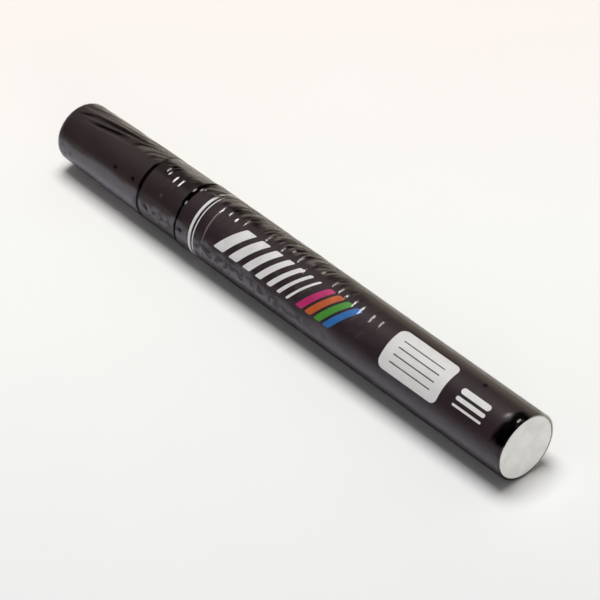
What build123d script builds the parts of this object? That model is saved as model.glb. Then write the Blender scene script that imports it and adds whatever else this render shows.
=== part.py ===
"""Paint marker, lying on its side.

The axis runs along X, with the cap towards -X and the rear disc towards +X. The origin is on the
surface that the marker lies on, under the middle of its length. Millimetres, +Z up.
"""

import os

from build123d import *

# Barrel: a drawn aluminium tube
barrel_diameter = 14.8
barrel_wall = 0.4
barrel_length = 96.0
rim_round = 0.2

# Clear shrink film over everything outside
film_wall = 0.08
film_gap = 0.02
film_lip_width = 0.3
film_end_opening_share = 0.66

# Plug in the rear end of the barrel
plug_length = 9.0
plug_head_length = 1.6
plug_floor = 1.5
plug_wall = 1.1
plug_head_clearance = 0.05
plug_edge_round = 0.15

# Sealing ribs on the plug and on the front section's rear spigot
rib_height = 0.25
rib_width = 0.7
rib_clearance = 0.02
plug_rib_count = 3
spigot_rib_count = 4

# Seal between barrel and front section
gasket_thickness = 0.4
gasket_recess = 0.3
gasket_bore_clearance = 0.05

# Front section: the collar between barrel and cap, with a spigot at each end
section_step = 0.2
section_length = 12.0
section_edge_round = 0.25
rear_spigot_length = 10.0
rear_spigot_wall = 1.45
front_spigot_length = 6.5
front_spigot_step = 1.35
front_bore_share = 0.69
spigot_lead = 0.4

# Snap bead on the front spigot, and its groove in the cap
bead_height = 0.12
bead_width = 1.0
bead_clearance = 0.03
groove_depth = 0.1
groove_side_clearance = 0.15

# Cap, tapering a little towards its rounded end
cap_length = 28.0
cap_taper = 0.4
cap_end_round = 1.8
cap_end_wall = 1.5
cap_wall = 1.2
cap_mouth_gap = 0.4
cap_mouth_round = 0.2
cap_mouth_relief = 1.4
cap_inner_round = 0.6

# Sealing cup inside the cap
inner_cap_wall = 0.9
inner_cap_end = 0.9
inner_cap_clearance = 0.05
inner_cap_setback = 1.6
inner_cap_end_round = 0.7
seal_lip_length = 1.5
seal_lip_clearance = 0.1

# Nib, a fibre rod with a bullet point
nib_diameter = 4.0
nib_exposed = 6.0
nib_point_length = 3.2
nib_point_share = 0.42
nib_point_round_share = 0.36
nib_shoulder_round = 1.2
nib_tip_room = 5.4
nib_guide_clearance = 0.05
nib_press_travel = 1.8
nib_seat_room = 0.4

# Nib holder: shank in the front section, flange on its face, nose ahead
holder_clearance = 0.05
holder_flange_length = 1.4
holder_flange_margin = 0.65
holder_flange_round = 0.3
holder_nose_share = 0.71
holder_tip_share = 0.54
holder_cone_length = 2.4
holder_tip_round = 0.3
holder_guide_length = 5.0
holder_feed_share = 0.27
holder_seat_gap = 0.6
feed_groove_width = 0.8
feed_groove_depth = 0.45
feed_groove_count = 4

# Valve: soft seat, plunger, cage with paint holes, closing spring
seat_place_share = 0.33
seat_thickness = 1.0
seat_hole_gap = 0.7
seat_clearance = 0.05
cage_clearance = 0.05
cage_wall = 0.9
cage_floor = 1.2
cage_flange_thickness = 1.0
cage_flange_margin = 0.35
cage_hole_share = 0.34
cage_hole_circle_share = 0.68
cage_hole_count = 4
plunger_head_share = 0.6
plunger_stem_share = 0.38
plunger_tail_share = 0.36
plunger_head_thickness = 1.4
plunger_cone_share = 0.45
plunger_seat_gap = 0.02
plunger_nib_gap = 0.05
plunger_tail_overhang = 0.4
tail_guide_clearance = 0.1
spring_wire_diameter = 0.4
spring_circle_share = 0.68
spring_turns = 8
spring_end_gap = 0.02

# Loose mixing ball
ball_diameter = 5.0
ball_clearance = 0.05
ball_place_share = 0.5

# Overrun of every cut past the face that it opens
cut_overrun = 1.0

# Radii that follow from these sizes
barrel_radius = barrel_diameter / 2
bore_radius = barrel_radius - barrel_wall
section_radius = barrel_radius - section_step
cap_end_radius = section_radius - cap_taper
film_offset = film_gap + film_wall
axis_height = barrel_radius + film_offset
rib_root_radius = bore_radius - rib_height
rib_radius = bore_radius - rib_clearance
front_spigot_radius = section_radius - front_spigot_step
bead_radius = front_spigot_radius + bead_height
cap_bore_radius = bead_radius + bead_clearance
valve_bore_radius = rib_root_radius - rear_spigot_wall
nib_radius = nib_diameter / 2
guide_radius = nib_radius + nib_guide_clearance
holder_bore_radius = guide_radius + (valve_bore_radius - guide_radius) * front_bore_share
cap_seat_radius = cap_end_radius - cap_wall
inner_cap_radius = cap_seat_radius - inner_cap_clearance
chamber_radius = inner_cap_radius - inner_cap_wall
holder_nose_radius = guide_radius + (chamber_radius - guide_radius) * holder_nose_share
lip_radius = holder_nose_radius + seal_lip_clearance
cage_radius = valve_bore_radius - cage_clearance
cage_bore_radius = cage_radius - cage_wall
plunger_head_radius = cage_bore_radius * plunger_head_share
plunger_stem_radius = plunger_head_radius * plunger_stem_share
plunger_tail_radius = plunger_head_radius * plunger_tail_share
seat_hole_radius = plunger_stem_radius + seat_hole_gap
ball_radius = ball_diameter / 2

# Places along the axis, from the rear disc at +X to the cap's end at -X
overall_length = film_offset + barrel_length + gasket_thickness + section_length
overall_length += cap_mouth_gap + cap_length + film_offset
rear_x = overall_length / 2
barrel_rear_x = rear_x - film_offset
barrel_front_x = barrel_rear_x - barrel_length
section_rear_x = barrel_front_x - gasket_thickness
section_front_x = section_rear_x - section_length
rear_spigot_x = barrel_front_x + rear_spigot_length
front_spigot_x = section_front_x - front_spigot_length
bead_x = (section_front_x + front_spigot_x) / 2
cap_mouth_x = section_front_x - cap_mouth_gap
cap_end_x = cap_mouth_x - cap_length
cap_floor_x = cap_end_x + cap_end_wall
inner_cap_floor_x = cap_floor_x + inner_cap_clearance + inner_cap_end
nib_tip_x = inner_cap_floor_x + nib_tip_room
holder_tip_x = nib_tip_x + nib_exposed
holder_flange_x = front_spigot_x - holder_flange_length
cage_floor_x = rear_spigot_x + cage_flange_thickness - cage_floor
seat_front_x = section_rear_x - section_length * seat_place_share
seat_rear_x = seat_front_x + seat_thickness
holder_rear_x = seat_front_x - holder_seat_gap
plunger_face_x = seat_rear_x + plunger_seat_gap
plunger_back_x = plunger_face_x + plunger_head_thickness
nib_rear_x = seat_front_x - nib_seat_room - nib_press_travel
cage_rear_x = rear_spigot_x + cage_flange_thickness
inner_cap_mouth_x = holder_flange_x - inner_cap_setback


def turned(*corners):
    """A body of revolution about the marker's axis; each corner is (x, radius, rounding)."""
    places = [(x, radius) for x, radius, rounding in corners]
    roundings = [rounding for x, radius, rounding in corners]
    outline = FilletPolyline(*places, radius=roundings, close=True)
    return Pos(0, 0, axis_height) * revolve(make_face(Plane.XZ * outline), Axis.X)


def ring(rear, front, inside, outside, rounding=0):
    """A plain ring between two places on the axis, its outer edges rounded."""
    return turned(
        (rear, inside, 0),
        (rear, outside, rounding),
        (front, outside, rounding),
        (front, inside, 0),
    )


def rod_cut(rear, front, radius, offset=0):
    """A round cutter along the axis, or beside it by offset."""
    length = rear - front
    place = Pos((rear + front) / 2, 0, axis_height + offset)
    return place * Rot(0, 90, 0) * Cylinder(radius, length)


def about_axis(shape, turn):
    """The shape turned about the marker's axis by an angle in degrees."""
    return Pos(0, 0, axis_height) * Rot(turn, 0, 0) * Pos(0, 0, -axis_height) * shape


def sealing_ribs(rear, front, count):
    """Ribs that seal against the barrel's bore, evenly spaced between two places on the axis."""
    root = rib_root_radius - rib_height
    half = rib_width / 2
    crown = rib_width / 4
    pitch = (rear - front) / (count + 1)
    ribs = []
    for index in range(count):
        middle = rear - (index + 1) * pitch
        ribs.append(
            turned(
                (middle + half, root, 0),
                (middle + half, rib_root_radius, 0),
                (middle + crown, rib_radius, 0),
                (middle - crown, rib_radius, 0),
                (middle - half, rib_root_radius, 0),
                (middle - half, root, 0),
            )
        )
    return ribs


def make_barrel_tube():
    """The aluminium tube, open at both ends."""
    return ring(barrel_rear_x, barrel_front_x, bore_radius, barrel_radius, rim_round)


def make_end_plug():
    """A cup with a flat outer face, a head that fills the bore and ribs that seal it."""
    head_radius = bore_radius - plug_head_clearance
    head_x = rear_x - plug_head_length
    front_x = rear_x - plug_length
    inside = rib_root_radius - plug_wall
    cup = turned(
        (rear_x, 0, 0),
        (rear_x, head_radius, plug_edge_round),
        (head_x, head_radius, 0),
        (head_x, rib_root_radius, 0),
        (front_x, rib_root_radius, 0),
        (front_x, inside, 0),
        (rear_x - plug_floor, inside, plug_wall / 2),
        (rear_x - plug_floor, 0, 0),
    )
    return cup + sealing_ribs(head_x, front_x, plug_rib_count)


def make_barrel_gasket():
    """The flat seal in the groove between barrel and front section."""
    inside = rib_root_radius + gasket_bore_clearance
    outside = barrel_radius - gasket_recess
    return ring(barrel_front_x, section_rear_x, inside, outside)


def make_front_section():
    """The collar with its ribbed rear spigot, its beaded front spigot and its stepped bore."""
    body = turned(
        (rear_spigot_x, valve_bore_radius, 0),
        (rear_spigot_x, rib_root_radius, spigot_lead),
        (section_rear_x, rib_root_radius, 0),
        (section_rear_x, section_radius, section_edge_round),
        (section_front_x, section_radius, section_edge_round),
        (section_front_x, front_spigot_radius, 0),
        (front_spigot_x, front_spigot_radius, spigot_lead),
        (front_spigot_x, holder_bore_radius, 0),
        (seat_front_x, holder_bore_radius, 0),
        (seat_front_x, valve_bore_radius, 0),
    )
    half = bead_width / 2
    root = front_spigot_radius - bead_height
    bead = turned(
        (bead_x + half, root, 0),
        (bead_x + half, front_spigot_radius, 0),
        (bead_x, bead_radius, half),
        (bead_x - half, front_spigot_radius, 0),
        (bead_x - half, root, 0),
    )
    return body + sealing_ribs(rear_spigot_x, barrel_front_x, spigot_rib_count) + bead


def make_nib_holder():
    """The nozzle: shank, flange, nose with a conical tip, and a grooved bore that guides the nib."""
    shank_radius = holder_bore_radius - holder_clearance
    flange_radius = front_spigot_radius - holder_flange_margin
    tip_radius = guide_radius + (holder_nose_radius - guide_radius) * holder_tip_share
    guide_end_x = holder_tip_x + holder_guide_length
    feed_radius = guide_radius + (shank_radius - guide_radius) * holder_feed_share
    body = turned(
        (holder_rear_x, feed_radius, 0),
        (holder_rear_x, shank_radius, 0),
        (front_spigot_x, shank_radius, 0),
        (front_spigot_x, flange_radius, 0),
        (holder_flange_x, flange_radius, holder_flange_round),
        (holder_flange_x, holder_nose_radius, 0),
        (holder_tip_x + holder_cone_length, holder_nose_radius, 0),
        (holder_tip_x, tip_radius, holder_tip_round),
        (holder_tip_x, guide_radius, 0),
        (guide_end_x, guide_radius, 0),
        (guide_end_x, feed_radius, 0),
    )
    groove_length = holder_guide_length + 2 * cut_overrun
    groove_height = guide_radius + feed_groove_depth
    groove_middle = (holder_tip_x + guide_end_x) / 2
    groove = Pos(groove_middle, 0, axis_height + groove_height / 2) * Box(
        groove_length, feed_groove_width, groove_height
    )
    for index in range(feed_groove_count):
        body -= about_axis(groove, index * 360 / feed_groove_count)
    return body


def make_nib():
    """A fibre rod, flat at the rear, with a bullet point at the front."""
    point_radius = nib_radius * nib_point_share
    point_round = nib_radius * nib_point_round_share
    return turned(
        (nib_rear_x, 0, 0),
        (nib_rear_x, nib_radius, 0),
        (nib_tip_x + nib_point_length, nib_radius, nib_shoulder_round),
        (nib_tip_x, point_radius, point_round),
        (nib_tip_x, 0, 0),
    )


def make_valve_seat():
    """The soft washer on the ledge of the front section's bore."""
    outside = valve_bore_radius - seat_clearance
    return ring(seat_rear_x, seat_front_x, seat_hole_radius, outside)


def make_valve_plunger():
    """Stem through the seat, head that closes it, tail inside the spring."""
    stem_x = nib_rear_x + plunger_nib_gap
    cone_x = plunger_face_x + plunger_head_thickness * plunger_cone_share
    tail_x = cage_rear_x + plunger_tail_overhang
    face_radius = (plunger_head_radius + seat_hole_radius) / 2
    return turned(
        (stem_x, 0, 0),
        (stem_x, plunger_stem_radius, 0),
        (plunger_face_x, plunger_stem_radius, 0),
        (plunger_face_x, face_radius, 0),
        (cone_x, plunger_head_radius, 0),
        (plunger_back_x, plunger_head_radius, 0),
        (plunger_back_x, plunger_tail_radius, 0),
        (tail_x, plunger_tail_radius, 0),
        (tail_x, 0, 0),
    )


def make_valve_cage():
    """A flanged cup, open towards the seat, with a guide hole and paint holes in its floor."""
    flange_radius = rib_root_radius - cage_flange_margin
    guide_hole = plunger_tail_radius + tail_guide_clearance
    body = turned(
        (cage_rear_x, guide_hole, 0),
        (cage_rear_x, flange_radius, 0),
        (rear_spigot_x, flange_radius, 0),
        (rear_spigot_x, cage_radius, 0),
        (seat_rear_x, cage_radius, 0),
        (seat_rear_x, cage_bore_radius, 0),
        (cage_floor_x, cage_bore_radius, 0),
        (cage_floor_x, guide_hole, 0),
    )
    hole_radius = (cage_bore_radius - guide_hole) * cage_hole_share
    hole_circle = cage_bore_radius * cage_hole_circle_share
    hole = rod_cut(cage_rear_x + cut_overrun, cage_floor_x - cut_overrun, hole_radius, hole_circle)
    for index in range(cage_hole_count):
        body -= about_axis(hole, index * 360 / cage_hole_count)
    return body


def make_valve_spring():
    """A wound wire spring between the cage's floor and the plunger's head."""
    wire_radius = spring_wire_diameter / 2
    end_room = wire_radius + spring_end_gap
    start_x = plunger_back_x + end_room
    height = cage_floor_x - end_room - start_x
    circle_radius = plunger_head_radius * spring_circle_share
    pitch = height / spring_turns
    path = Helix(pitch, height, circle_radius, (start_x, 0, axis_height), (1, 0, 0))
    section = Plane(path @ 0, z_dir=path % 0) * Circle(wire_radius)
    print("valve spring, gap between turns:", round(pitch - spring_wire_diameter, 3), "mm")
    return sweep(section, path, is_frenet=True)


def make_mixing_ball():
    """A steel ball lying on the lowest line of the barrel's bore."""
    drop = bore_radius - ball_radius - ball_clearance
    front_stop_x = cage_rear_x
    rear_stop_x = rear_x - plug_length
    place_x = front_stop_x + (rear_stop_x - front_stop_x) * ball_place_share
    return Pos(place_x, 0, axis_height - drop) * Sphere(ball_radius)


def make_cap_shell():
    """The tapered cap: a wide mouth with a snap groove, then the bore that holds the sealing cup."""
    step_x = holder_flange_x - cap_mouth_relief
    half = bead_width / 2 + groove_side_clearance
    groove_radius = cap_bore_radius + groove_depth
    return turned(
        (cap_mouth_x, cap_bore_radius, 0),
        (cap_mouth_x, section_radius, cap_mouth_round),
        (cap_end_x, cap_end_radius, cap_end_round),
        (cap_end_x, 0, 0),
        (cap_floor_x, 0, 0),
        (cap_floor_x, cap_seat_radius, cap_inner_round),
        (step_x, cap_seat_radius, 0),
        (step_x, cap_bore_radius, 0),
        (bead_x - half, cap_bore_radius, 0),
        (bead_x - half / 2, groove_radius, 0),
        (bead_x + half / 2, groove_radius, 0),
        (bead_x + half, cap_bore_radius, 0),
    )


def make_inner_cap():
    """The sealing cup: a lip that closes round the holder's nose and a chamber for the nib."""
    end_x = inner_cap_floor_x - inner_cap_end
    lip_end_x = inner_cap_mouth_x - seal_lip_length
    return turned(
        (inner_cap_mouth_x, lip_radius, 0),
        (inner_cap_mouth_x, inner_cap_radius, 0),
        (end_x, inner_cap_radius, inner_cap_end_round),
        (end_x, 0, 0),
        (inner_cap_floor_x, 0, 0),
        (inner_cap_floor_x, chamber_radius, inner_cap_end_round / 2),
        (lip_end_x, chamber_radius, 0),
        (lip_end_x, lip_radius, 0),
    )


def make_barrel_film():
    """Film round barrel and front section, folded over the rear rim, stepping down at the groove."""
    inner_rear_x = rear_x - film_wall
    fold_radius = barrel_radius - film_lip_width
    barrel_in = barrel_radius + film_gap
    barrel_out = barrel_radius + film_offset
    section_in = section_radius + film_gap
    section_out = section_radius + film_offset
    outer_round = rim_round + film_offset
    inner_round = rim_round + film_gap
    return turned(
        (rear_x, fold_radius, 0),
        (rear_x, barrel_out, outer_round),
        (barrel_front_x, barrel_out, 0),
        (section_rear_x, section_out, 0),
        (section_front_x, section_out, 0),
        (section_front_x, section_in, 0),
        (section_rear_x, section_in, 0),
        (barrel_front_x, barrel_in, 0),
        (inner_rear_x, barrel_in, inner_round),
        (inner_rear_x, fold_radius, 0),
    )


def make_cap_film():
    """Film round the cap, drawn over its rounded end and open in the middle."""
    opening = cap_end_radius * film_end_opening_share
    outer_end_x = cap_end_x - film_offset
    inner_end_x = cap_end_x - film_gap
    return turned(
        (cap_mouth_x, section_radius + film_gap, 0),
        (cap_mouth_x, section_radius + film_offset, 0),
        (outer_end_x, cap_end_radius + film_offset, cap_end_round + film_offset),
        (outer_end_x, opening, 0),
        (inner_end_x, opening, 0),
        (inner_end_x, cap_end_radius + film_gap, cap_end_round + film_gap),
    )


pieces = {
    "barrel_tube": make_barrel_tube,
    "end_plug": make_end_plug,
    "barrel_gasket": make_barrel_gasket,
    "front_section": make_front_section,
    "nib_holder": make_nib_holder,
    "nib": make_nib,
    "valve_seat": make_valve_seat,
    "valve_plunger": make_valve_plunger,
    "valve_cage": make_valve_cage,
    "valve_spring": make_valve_spring,
    "mixing_ball": make_mixing_ball,
    "cap_shell": make_cap_shell,
    "inner_cap": make_inner_cap,
    "barrel_film": make_barrel_film,
    "cap_film": make_cap_film,
}

os.makedirs("parts", exist_ok=True)
for name, make_piece in pieces.items():
    export_step(make_piece(), os.path.join("parts", name + ".step"))
print("overall length:", round(overall_length, 2), "mm")
print("outside diameter:", round(2 * axis_height, 2), "mm")
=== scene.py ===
"""Looks of the paint marker: wrinkled clear film, printed barrel, plastics, floor, light and camera.

The marker's axis runs along X, above the floor by its radius. Places along it are in millimetres, with the
cap towards -X. Angles round it are in degrees: 0 faces -Y, 90 is the top, 180 faces +Y.
"""

import functools
import math

import bpy
import numpy as np
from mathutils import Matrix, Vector


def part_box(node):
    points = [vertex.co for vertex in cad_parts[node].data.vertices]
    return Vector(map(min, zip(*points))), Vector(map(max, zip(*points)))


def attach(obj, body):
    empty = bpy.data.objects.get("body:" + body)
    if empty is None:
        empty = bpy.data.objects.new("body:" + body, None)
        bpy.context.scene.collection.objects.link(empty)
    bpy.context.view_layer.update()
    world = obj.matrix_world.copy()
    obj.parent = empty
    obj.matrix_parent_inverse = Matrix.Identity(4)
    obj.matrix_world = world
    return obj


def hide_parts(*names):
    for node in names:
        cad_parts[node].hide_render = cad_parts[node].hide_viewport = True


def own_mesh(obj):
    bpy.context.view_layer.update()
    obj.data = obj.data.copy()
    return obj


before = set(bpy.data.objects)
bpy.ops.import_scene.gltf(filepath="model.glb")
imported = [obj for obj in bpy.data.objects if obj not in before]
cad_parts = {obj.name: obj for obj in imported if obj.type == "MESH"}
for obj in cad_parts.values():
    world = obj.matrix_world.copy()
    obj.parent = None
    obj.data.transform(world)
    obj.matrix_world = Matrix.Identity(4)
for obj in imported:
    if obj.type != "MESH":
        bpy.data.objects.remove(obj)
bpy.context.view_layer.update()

mm = 0.001


def node_ends(node):
    """First and last place of a solid along X, in millimetres."""
    low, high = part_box(node)
    return round(low[0] / mm, 2), round(high[0] / mm, 2)


# Film sizes, from the solids or as in them
section_front_x, film_rear_x = node_ends("barrel_film")
cap_film_end_x, cap_mouth_x = node_ends("cap_film")
barrel_front_x = node_ends("barrel_tube")[0]
film_bridge_x = -29.4
film_wall = 0.08
barrel_film_radius = 7.5
section_film_radius = 7.3
cap_film_end_radius = 6.9
film_lip_radius = 7.0
film_rim_round = 0.3
cap_film_round = 1.9
cap_film_opening = 4.49
axis_height = barrel_film_radius

# The wrinkled film on the cap reaches a little past the cap's mouth
cap_film_overhang = 0.25
film_mouth_x = cap_mouth_x + cap_film_overhang

# Printed ink, in thin layers on the barrel under the film
ink_low_radius = 7.402
ink_high_radius = 7.411
overprint_high_radius = 7.417

# Edges sharper than this stay crisp
crisp_angle = 60

# Width of the square of random numbers that lumps are drawn from
lattice_size = 128


def smooth_step(value):
    """0 below 0, 1 above 1, smooth between."""
    value = np.clip(value, 0, 1)
    return value * value * (3 - 2 * value)


def past(value, start, length):
    """0 up to a start and 1 from a length past it, smooth between; a negative length runs downward."""
    return smooth_step((value - start) / length)


def span(value, low, high, fade):
    """1 from low to high, fading to 0 over the fade length outside."""
    return smooth_step((value - low) / fade + 1) * smooth_step((high - value) / fade + 1)


def soft_edge(depth, blur):
    """Half at an edge, 1 inside it and 0 outside, over a blur length."""
    return smooth_step(depth / blur + 0.5)


def ridge(distance, width):
    """A rounded crest across a distance."""
    return np.exp(-((distance / width) ** 2))


def lopsided_ridge(distance, low_width, high_width):
    """A rounded crest whose two flanks differ in width."""
    return ridge(distance, np.where(distance < 0, low_width, high_width))


def strongest(*fields):
    """The largest of some fields at each place."""
    return functools.reduce(np.maximum, fields)


def lumps(along, across, cell, origin, seed):
    """Smooth random lumps from -1 to 1, drawn from a lattice of a cell size, an origin and a seed."""
    lattice = np.random.default_rng(seed).uniform(-1, 1, (lattice_size, lattice_size))
    u = along / cell[0] + origin[0]
    v = across / cell[1] + origin[1]
    column = np.floor(u).astype(int)
    row = np.floor(v).astype(int)
    u_share = smooth_step(u - column)
    v_share = smooth_step(v - row)
    column = column % lattice_size
    row = row % lattice_size
    next_column = (column + 1) % lattice_size
    next_row = (row + 1) % lattice_size
    low = lattice[column, row] * (1 - u_share) + lattice[next_column, row] * u_share
    high = lattice[column, next_row] * (1 - u_share) + lattice[next_column, next_row] * u_share
    return low * (1 - v_share) + high * v_share


def arc_length(angle, radius):
    """Length in millimetres round the marker."""
    return np.radians(angle) * radius


def round_places(x, radius, angle):
    """Places in metres for x and radius in millimetres and angle in degrees."""
    turn = np.radians(angle)
    places = np.stack([x, -radius * np.cos(turn), axis_height + radius * np.sin(turn)], axis=-1)
    return places * mm


def steps(*runs):
    """Numbers along a line; each run has its first number, its end and its step."""
    return np.concatenate([np.arange(*run) for run in runs])


def new_piece(name, places, faces, materials, body):
    """A smooth mesh with crisp edges that rides on a body."""
    mesh = bpy.data.meshes.new(name)
    mesh.from_pydata(places.tolist(), [], faces)
    for material in materials:
        mesh.materials.append(material)
    mesh.shade_smooth()
    mesh.set_sharp_from_angle(angle=math.radians(crisp_angle))
    piece = bpy.data.objects.new(name, mesh)
    bpy.context.scene.collection.objects.link(piece)
    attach(piece, body)
    return piece


# Node materials

def new_material(name):
    """A material with its nodes, its links and its shader."""
    material = bpy.data.materials.new(name)
    material.use_nodes = True
    tree = material.node_tree
    return material, tree.nodes, tree.links, tree.nodes["Principled BSDF"]


def place_noise(nodes, links, scale, detail=3.0, stretch=(1, 1, 1)):
    """Noise fixed to the object, stretched along its axes."""
    place = nodes.new("ShaderNodeTexCoord")
    mapping = nodes.new("ShaderNodeMapping")
    mapping.inputs["Scale"].default_value = stretch
    noise = nodes.new("ShaderNodeTexNoise")
    noise.inputs["Scale"].default_value = scale
    noise.inputs["Detail"].default_value = detail
    links.new(place.outputs["Object"], mapping.inputs["Vector"])
    links.new(mapping.outputs["Vector"], noise.inputs["Vector"])
    return noise.outputs["Fac"]


def tones(nodes, links, source, stops):
    """Tones that change with a number; each stop is the number and its colour."""
    ramp = nodes.new("ShaderNodeValToRGB")
    elements = ramp.color_ramp.elements
    while len(elements) < len(stops):
        elements.new(0.5)
    for element, (place, colour) in zip(elements, stops):
        element.position = place
        element.color = (*colour, 1)
    links.new(source, ramp.inputs["Fac"])
    return ramp.outputs["Color"]


def tone(nodes, links, source, dark, light, low=0.35, high=0.65):
    """Two tones mixed by a number."""
    return tones(nodes, links, source, ((low, dark), (high, light)))


def rescale(nodes, links, source, low, high, from_low=0.3, from_high=0.7):
    """A number brought between two limits."""
    scale = nodes.new("ShaderNodeMapRange")
    scale.inputs["From Min"].default_value = from_low
    scale.inputs["From Max"].default_value = from_high
    scale.inputs["To Min"].default_value = low
    scale.inputs["To Max"].default_value = high
    links.new(source, scale.inputs["Value"])
    return scale.outputs["Result"]


def combine(nodes, links, operation, first, second):
    """Two numbers, each a socket or a constant, taken together."""
    node = nodes.new("ShaderNodeMath")
    node.operation = operation
    for socket, value in zip(node.inputs, (first, second)):
        if isinstance(value, (int, float)):
            socket.default_value = value
        else:
            links.new(value, socket)
    return node.outputs["Value"]


def bump(nodes, links, source, strength, depth):
    """A noise as a bump of a depth in metres."""
    relief = nodes.new("ShaderNodeBump")
    relief.inputs["Strength"].default_value = strength
    relief.inputs["Distance"].default_value = depth
    links.new(source, relief.inputs["Height"])
    return relief.outputs["Normal"]


grain_detail = 4.0
grain_strength = 0.5


def solid_material(
    name, dark, light, roughness, grain, depth, stretch=(1, 1, 1), metal=0.0, patch=120.0, specular=0.5
):
    """An opaque material with drifting colour, drifting gloss and a fine grain."""
    material, nodes, links, shader = new_material(name)
    drift = place_noise(nodes, links, patch, grain_detail, stretch)
    fine = place_noise(nodes, links, grain, grain_detail, stretch)
    links.new(tone(nodes, links, drift, dark, light), shader.inputs["Base Color"])
    links.new(rescale(nodes, links, fine, *roughness), shader.inputs["Roughness"])
    links.new(bump(nodes, links, fine, grain_strength, depth), shader.inputs["Normal"])
    shader.inputs["Metallic"].default_value = metal
    shader.inputs["Specular IOR Level"].default_value = specular
    return material


def mesh_value(nodes, name):
    """A number that the mesh carries at each of its places."""
    node = nodes.new("ShaderNodeAttribute")
    node.attribute_name = name
    return node.outputs["Fac"]


# Film: where its gloss changes along X and Y, in metres, and its tones; the cool and warm gloss tints are
# painted tints of the light it reflects
gloss_change_x = (-0.045, 0.030)
gloss_change_y = (-0.0075, 0.003)
near_painted_tint = (0.79, 0.80, 0.96)
far_painted_tint = (0.79, 0.76, 0.70)
gloss_power = 3.0
gloss_grain = 420.0
gloss_roughness = (0.045, 0.068)
clear_to_shaded = (0.97, 0.06)
milk_patch = 160.0
milk_tones = ((0.64, 0.61, 0.56), (0.74, 0.71, 0.66))


def film_material(name, front_gloss, rear_gloss):
    """Clear film whose gloss rises towards grazing view, from the first share of a pair by the second.

    The gloss changes from the front pair to the rear pair along the marker. Its tint is cooler on the near
    side and warmer on the far side, a painted tint of the light it reflects. The mesh says how much sheen
    the film has at each place, how milky it is, partly as painted highlight, and how dark it looks where it
    clings, in creases and hollows and on its underside, as painted shade.
    """
    material, nodes, links, shader = new_material(name)
    nodes.remove(shader)
    place = nodes.new("ShaderNodeTexCoord")
    split = nodes.new("ShaderNodeSeparateXYZ")
    links.new(place.outputs["Object"], split.inputs["Vector"])
    rearward = rescale(nodes, links, split.outputs["X"], 0, 1, *gloss_change_x)

    least = rescale(nodes, links, rearward, front_gloss[0], rear_gloss[0], 0, 1)
    most = rescale(nodes, links, rearward, front_gloss[1], rear_gloss[1], 0, 1)
    facing = nodes.new("ShaderNodeLayerWeight")
    facing.inputs["Blend"].default_value = 0.5
    rise = combine(nodes, links, "POWER", facing.outputs["Facing"], gloss_power)
    rise = combine(nodes, links, "MULTIPLY", rise, most)
    share = combine(nodes, links, "ADD", least, rise)
    share = combine(nodes, links, "MULTIPLY", share, mesh_value(nodes, "sheen"))
    gloss = nodes.new("ShaderNodeBsdfGlossy")
    across = rescale(nodes, links, split.outputs["Y"], 0, 1, *gloss_change_y)
    painted_tint = tone(nodes, links, across, near_painted_tint, far_painted_tint, 0, 1)
    links.new(painted_tint, gloss.inputs["Color"])
    fine = place_noise(nodes, links, gloss_grain)
    links.new(rescale(nodes, links, fine, *gloss_roughness), gloss.inputs["Roughness"])

    clear = nodes.new("ShaderNodeBsdfTransparent")
    clearness = rescale(nodes, links, mesh_value(nodes, "shade"), *clear_to_shaded, 0, 1)
    links.new(clearness, clear.inputs["Color"])
    milk_and_highlight = nodes.new("ShaderNodeBsdfDiffuse")
    drift = place_noise(nodes, links, milk_patch)
    links.new(tone(nodes, links, drift, *milk_tones), milk_and_highlight.inputs["Color"])
    body = nodes.new("ShaderNodeMixShader")
    links.new(mesh_value(nodes, "milk_and_highlight"), body.inputs["Fac"])
    links.new(clear.outputs["BSDF"], body.inputs[1])
    links.new(milk_and_highlight.outputs["BSDF"], body.inputs[2])
    mix = nodes.new("ShaderNodeMixShader")
    links.new(share, mix.inputs["Fac"])
    links.new(body.outputs["Shader"], mix.inputs[1])
    links.new(gloss.outputs["BSDF"], mix.inputs[2])
    links.new(mix.outputs["Shader"], nodes["Material Output"].inputs["Surface"])
    return material


black_paint = solid_material(
    "black_paint", dark=(0.030, 0.0180, 0.0215), light=(0.036, 0.0218, 0.0255),
    roughness=(0.32, 0.44), grain=4000.0, depth=0.000003, specular=0.15,
)
black_plastic = solid_material(
    "black_plastic", dark=(0.030, 0.0187, 0.0192), light=(0.036, 0.0225, 0.0230),
    roughness=(0.36, 0.50), grain=5000.0, depth=0.000004, specular=0.15,
)
white_disc = solid_material(
    "white_disc", dark=(0.80, 0.80, 0.78), light=(0.92, 0.92, 0.90),
    roughness=(0.45, 0.60), grain=3000.0, depth=0.00001, patch=300.0,
)
white_plastic = solid_material(
    "white_plastic", dark=(0.76, 0.76, 0.74), light=(0.84, 0.84, 0.82),
    roughness=(0.34, 0.46), grain=4000.0, depth=0.000006,
)
valve_plastic = solid_material(
    "valve_plastic", dark=(0.70, 0.73, 0.75), light=(0.80, 0.82, 0.83),
    roughness=(0.30, 0.42), grain=4000.0, depth=0.000005,
)
rubber = solid_material(
    "rubber", dark=(0.006, 0.006, 0.006), light=(0.010, 0.010, 0.010),
    roughness=(0.60, 0.80), grain=6000.0, depth=0.00001,
)
fibre = solid_material(
    "fibre", dark=(0.74, 0.72, 0.67), light=(0.88, 0.87, 0.83),
    roughness=(0.75, 0.92), grain=3500.0, depth=0.00003, stretch=(0.12, 1, 1), patch=900.0,
)
spring_steel = solid_material(
    "spring_steel", dark=(0.50, 0.50, 0.51), light=(0.62, 0.62, 0.62),
    roughness=(0.22, 0.34), grain=5000.0, depth=0.000003, metal=1.0,
)
ball_steel = solid_material(
    "ball_steel", dark=(0.60, 0.60, 0.61), light=(0.70, 0.70, 0.70),
    roughness=(0.08, 0.16), grain=3000.0, depth=0.000002, metal=1.0,
)
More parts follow.
